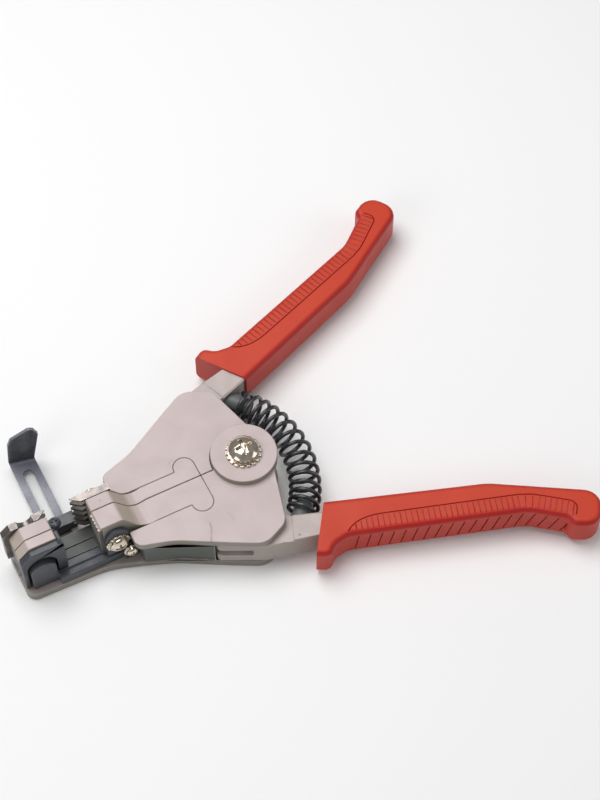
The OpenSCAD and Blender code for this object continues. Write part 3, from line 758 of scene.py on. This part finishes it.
def makeWireStop():
    # One sheet: a slotted strip whose end is bent up on a skewed line
    look = stopShape
    bm = bmesh.new()
    level = look["under"] + look["thick"] / 2
    turn = math.radians(look["turn"])
    foldAt = Vector((look["middle"], look["fold"]))
    alongFold = Vector((math.cos(turn), math.sin(turn)))
    pastFold = Vector((-math.sin(turn), math.cos(turn)))

    def onFold(u, v, w):
        spot = foldAt + alongFold * u + pastFold * v
        return Vector((spot.x, spot.y, level + w)) * mm

    def onStrip(points):
        return [bm.verts.new(Vector((q.x, q.y, level)) * mm) for q in points]

    half, bend, near, foot = look["width"] / 2, look["bend"], look["near"], look["leafFoot"]
    feet = [(side * half + bend * math.sin(-turn)) / math.cos(turn) for side in (-1, 1)]
    left, right = look["middle"] - half, look["middle"] + half
    corners = [(left, 20.0, 0), (left, near, look["corner"]),
               (right, near, look["corner"]), (right, 20.0, 0)]
    rim = onStrip(softCorners(corners, 4))
    rim = [bm.verts.new(onFold(feet[0], -bend, 0))] + rim + [bm.verts.new(onFold(feet[1], -bend, 0))]
    slotNear, slotFar = look["slotNear"], look["slotFar"]
    inner = [(look["middle"] + side * look["slotHalf"], y, look["slotCorner"])
             for side, y in ((1, slotNear), (1, slotFar), (-1, slotFar), (-1, slotNear))]
    seam = (look["middle"], slotNear, 0)
    slot = onStrip(softCorners([seam] + inner + [seam], 6)[:-1])
    loops = []
    for ring in (rim, slot):
        loops += [bm.edges.new((ring[k - 1], ring[k])) for k in range(len(ring))]
    bmesh.ops.triangle_fill(bm, use_beauty=True, edges=loops)
    edge = bm.edges.get((rim[0], rim[-1]))
    for k in range(1, look["bendSteps"] + 1):
        share = k / look["bendSteps"]
        angle = math.pi / 2 * share
        made = bmesh.ops.extrude_edge_only(bm, edges=[edge])["geom"]
        ends = sorted((v for v in made if isinstance(v, bmesh.types.BMVert)), key=lambda v: v.co.x)
        past, up = bend * (math.sin(angle) - 1), bend * (1 - math.cos(angle))
        for vert, start, last in zip(ends, feet, (-foot, foot)):
            vert.co = onFold(start + (last - start) * share, past, up)
        edge = bm.edges.get(ends)
    low = level - look["under"]
    leaf = softCorners([(-foot, bend, 0)] + look["leaf"] + [(foot, bend, 0)], 5)[1:-1]
    crown = [bm.verts.new(onFold(q.x, 0.0, q.y - low)) for q in leaf]
    bm.faces.new([ends[1], ends[0]] + crown)
    bmesh.ops.recalc_face_normals(bm, faces=bm.faces)
    piece = keepPiece("wireStop", bm, ["stop"], "wire_stop", weighted=False)
    sheet = piece.modifiers.new("sheet", "SOLIDIFY")
    sheet.thickness, sheet.offset, sheet.use_even_offset = look["thick"] * mm, 0.0, True
    broken = piece.modifiers.new("broken", "BEVEL")
    broken.width, broken.segments, broken.limit_method = look["edge"] * mm, 2, "ANGLE"
    shade = piece.modifiers.new("evenShade", "WEIGHTED_NORMAL")
    shade.keep_sharp = True


makeWireStop()
print("wire stop made")


# Return spring

springSize = {
    "wire": 1.3, "coil": 4.5, "turns": 15, "steps": 20, "sides": 10, "pitch": 4.0,
    "arc": 33.0, "half": 42.0, "middle": (-16.0, 0.0, 7.5), "bunch": 0.2, "inset": 1.3,
}


def springShare(height):
    # Where along the arc a turn lies: the turns close up towards both ends
    low, high = 0.0, 1.0
    for _ in range(40):
        t = (low + high) / 2
        if t + springSize["bunch"] * math.sin(2 * math.pi * t) / (2 * math.pi) < height:
            low = t
        else:
            high = t
    return (low + high) / 2


def onSpringArc(share, radial=0.0, up=0.0, along=0.0):
    a = math.radians(springSize["half"]) * (2 * share - 1)
    out = Vector((math.cos(a), math.sin(a), 0.0))
    ahead = Vector((-math.sin(a), math.cos(a), 0.0))
    point = Vector(springSize["middle"]) + out * (springSize["arc"] + radial) + ahead * along
    return (point + Vector((0.0, 0.0, up))) * mm


def makeSpring():
    size = springSize
    spans = [
        ("springLower", 0, 5, "lower_lever", "lower_half"),
        ("springMiddle", 5, 10, "lower_half", "upper_half"),
        ("springUpper", 10, 15, "upper_half", "upper_lever"),
    ]
    pitch = size["pitch"]
    for name, first, last, a, b in spans:
        bm = bmesh.new()
        bmesh.ops.create_circle(bm, segments=size["sides"], radius=size["wire"] / 2)
        bmesh.ops.rotate(bm, verts=bm.verts, matrix=Matrix.Rotation(math.pi / 2, 3, "X"))
        bmesh.ops.translate(bm, verts=bm.verts, vec=(size["coil"], 0.0, first * pitch))
        steps = (last - first) * size["steps"]
        bmesh.ops.spin(
            bm, geom=bm.verts[:] + bm.edges[:], cent=(0, 0, 0), axis=(0, 0, 1),
            dvec=(0, 0, pitch / size["steps"]), angle=2 * math.pi * (last - first), steps=steps,
            use_merge=False, use_duplicate=False)
        rim = [e for e in bm.edges if len(e.link_faces) == 1]
        bmesh.ops.holes_fill(bm, edges=rim, sides=0)
        for vert in bm.verts:
            x, y, z = vert.co
            turn = math.atan2(y, x) / (2 * math.pi)
            base = turn + round(z / pitch - turn)
            vert.co = onSpringArc(springShare(base / size["turns"]), x, y, z - base * pitch)
        bmesh.ops.recalc_face_normals(bm, faces=bm.faces)
        piece = keepPiece(name, bm, ["spring"], sharp=60.0, weighted=False)
        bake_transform(piece)
        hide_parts("return_spring")
    print("spring made:", len(spans), "pieces")


makeSpring()


# Floor, light and camera


def makeStage():
    look = {
        "size": 6.0, "colour": (0.965, 0.965, 0.965), "cloud": (0.945, 0.945, 0.945),
        "sky": (1.0, 1.0, 1.0, 1.0), "skyStrength": 0.27,
    }
    bm = bmesh.new()
    bmesh.ops.create_grid(bm, x_segments=4, y_segments=4, size=look["size"])
    mesh = bpy.data.meshes.new("paleFloor")
    material, tree, shader = startFinish("paleFloor", {"Roughness": 0.9, "Specular IOR Level": 0.1})
    cloud = noise(tree, 3.0, 2.0)
    tree.links.new(mixColour(tree, cloud, look["colour"], look["cloud"]), shader.inputs["Base Color"])
    mesh.materials.append(material)
    bm.to_mesh(mesh)
    bm.free()
    floor = bpy.data.objects.new("paleFloor", mesh)
    bpy.context.collection.objects.link(floor)

    world = bpy.data.worlds.new("studio")
    world.use_nodes = True
    sky = world.node_tree.nodes["Background"]
    sky.inputs["Color"].default_value = look["sky"]
    sky.inputs["Strength"].default_value = look["skyStrength"]
    bpy.context.scene.world = world

    lamps = [
        # name, place, aim, size, watts
        ("overhead", (-0.10, 0.25, 0.75), (0.01, 0.01, 0.0), 0.55, 4.6),
        ("leftSoft", (-0.70, -0.25, 0.50), (0.0, 0.0, 0.0), 0.45, 1.2),
        ("rightSoft", (0.65, -0.45, 0.45), (0.03, 0.0, 0.0), 0.45, 0.9),
    ]
    for name, at, aim, size, watts in lamps:
        lamp = bpy.data.lights.new(name, "AREA")
        lamp.shape = "SQUARE"
        lamp.size = size
        lamp.energy = watts
        holder = bpy.data.objects.new(name, lamp)
        holder.location = at
        holder.rotation_mode = "QUATERNION"
        holder.rotation_quaternion = (Vector(aim) - Vector(at)).to_track_quat("-Z", "Y")
        bpy.context.collection.objects.link(holder)


def makeCamera():
    seen = {
        "azimuth": -27.104, "elevation": 57.664, "distance": 0.580,
        "aim": (0.0265, 0.0142, 0.008), "lens": 82.8,
    }
    a, e = math.radians(seen["azimuth"]), math.radians(seen["elevation"])
    back = Vector((math.sin(a) * math.cos(e), -math.cos(a) * math.cos(e), math.sin(e)))
    data = bpy.data.cameras.new("mainView")
    data.lens = seen["lens"]
    data.sensor_width = 36.0
    data.clip_start = 0.01
    camera = bpy.data.objects.new("mainView", data)
    camera.location = Vector(seen["aim"]) + back * seen["distance"]
    camera.rotation_mode = "QUATERNION"
    camera.rotation_quaternion = (-back).to_track_quat("-Z", "Y")
    bpy.context.collection.objects.link(camera)
    bpy.context.scene.camera = camera


makeStage()
makeCamera()
bpy.context.scene.view_settings.view_transform = "Standard"
print("stage ready")
